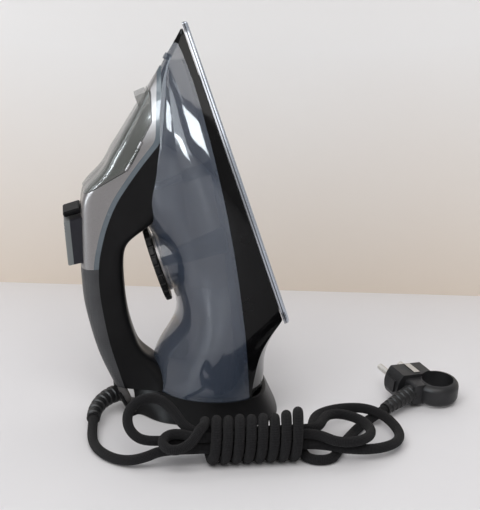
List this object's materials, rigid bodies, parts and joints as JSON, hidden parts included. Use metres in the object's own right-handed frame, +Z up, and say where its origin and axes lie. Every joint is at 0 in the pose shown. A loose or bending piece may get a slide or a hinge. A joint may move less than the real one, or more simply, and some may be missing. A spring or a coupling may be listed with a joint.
{
  "type": "clothes iron",
  "caption": "Steam iron standing on its heel, with a tank, dial, sprung buttons, steam lever, hinged filler door, and a cord wound into a hank with its plug.",
  "frame": {"origin": "a point on the heel's flat face in the iron's middle plane, on the floor it stands on", "axes": "+Z up, +X from the handle towards the soleplate's working face, +Y across the iron"},
  "size_m": [0.2951, 0.1834, 0.2946],
  "materials": {
    "sole_metal": "polished along its length",
    "element_sheath": "heat-dulled",
    "cast_aluminium": "as cast",
    "sheet_steel": "plain",
    "pale_plastic": "matt",
    "black_gloss": "high gloss",
    "smoke_tank": "smoke-tinted and see-through",
    "dark_plastic": "satin",
    "brass_fitting": "machined",
    "silver_plastic": "metallic paint",
    "dial_plastic": "satin",
    "soft_grip": "soft with fine dots",
    "trim_grey": "satin",
    "smoke_door": "smoke-tinted and see-through",
    "button_plastic": "satin",
    "black_rubber": "matt",
    "cord_textile": "braided textile",
    "plug_plastic": "satin",
    "pin_metal": "nickel plated"
  },
  "bodies": {
    "iron": {"soleplate": "sole_metal", "heating_element": "element_sheath", "heater_casting": "cast_aluminium", "steam_chamber_cover": "sheet_steel", "thermostat": "sheet_steel", "thermal_fuse": "pale_plastic", "skirt": "black_gloss", "tank_shell": "smoke_tank", "tank_base": "dark_plastic", "spray_nozzle": "brass_fitting", "dial_bezel": "silver_plastic", "handle_core": "black_gloss", "handle_grip": "soft_grip", "trim_strip": "trim_grey", "control_panel": "silver_plastic", "door_hinge_pin": "sheet_steel", "filler_tray": "dark_plastic", "burst_pump": "pale_plastic", "burst_spring": "sheet_steel", "spray_pump": "pale_plastic", "spray_spring": "sheet_steel", "heel_cover": "black_gloss", "heel_screws": "sheet_steel", "terminal_block": "pale_plastic", "cord_clamp": "dark_plastic", "cord_sleeve": "black_rubber", "cord_hank": "cord_textile", "cord_lead": "cord_textile", "cord_tail": "cord_textile", "plug_body": "plug_plastic", "plug_pins": "pin_metal", "plug_earth_clips": "pin_metal", "plug_sleeve": "black_rubber"},
    "dial": {"temperature_dial": "dial_plastic", "dial_shaft": "dark_plastic"},
    "door": {"filler_door": "smoke_door"},
    "lever": {"steam_lever": "black_gloss"},
    "valve": {"steam_valve_rod": "sheet_steel"},
    "burst": {"burst_button": "button_plastic"},
    "spray": {"spray_button": "button_plastic"}
  },
  "joints": [
    {"name": "dial_turn", "type": "hinge", "parent": "iron", "child": "dial", "pos_m": [-0.0124, 0, 0.11567], "axis": [-0.9511, 0, -0.309], "range_deg": [0, 285]},
    {"name": "door_hinge", "type": "hinge", "parent": "iron", "child": "door", "pos_m": [-0.0365, -0.0185, 0.1916], "axis": [0.4884, 0.0595, 0.8706], "range_deg": [0, 100]},
    {"name": "lever_slide", "type": "slide", "parent": "iron", "child": "lever", "axis": [0, 1, 0], "range_m": [-0.006, 0.006]},
    {"name": "valve_slide", "type": "slide", "parent": "iron", "child": "valve", "axis": [-0.9511, 0, -0.309], "range_m": [-0.0015, 0.0015]},
    {"name": "burst_press", "type": "slide", "parent": "iron", "child": "burst", "axis": [1, 0, 0], "range_m": [0, 0.004], "stiffness_N_per_m": 500, "springref_m": -0.002, "deforming": ["burst_spring"]},
    {"name": "spray_press", "type": "slide", "parent": "iron", "child": "spray", "axis": [1, 0, 0], "range_m": [0, 0.004], "stiffness_N_per_m": 500, "springref_m": -0.002, "deforming": ["spray_spring"]}
  ],
  "couplings": [
    {"joint": "valve_slide", "follows": "lever_slide", "ratio": 0.25}
  ]
}
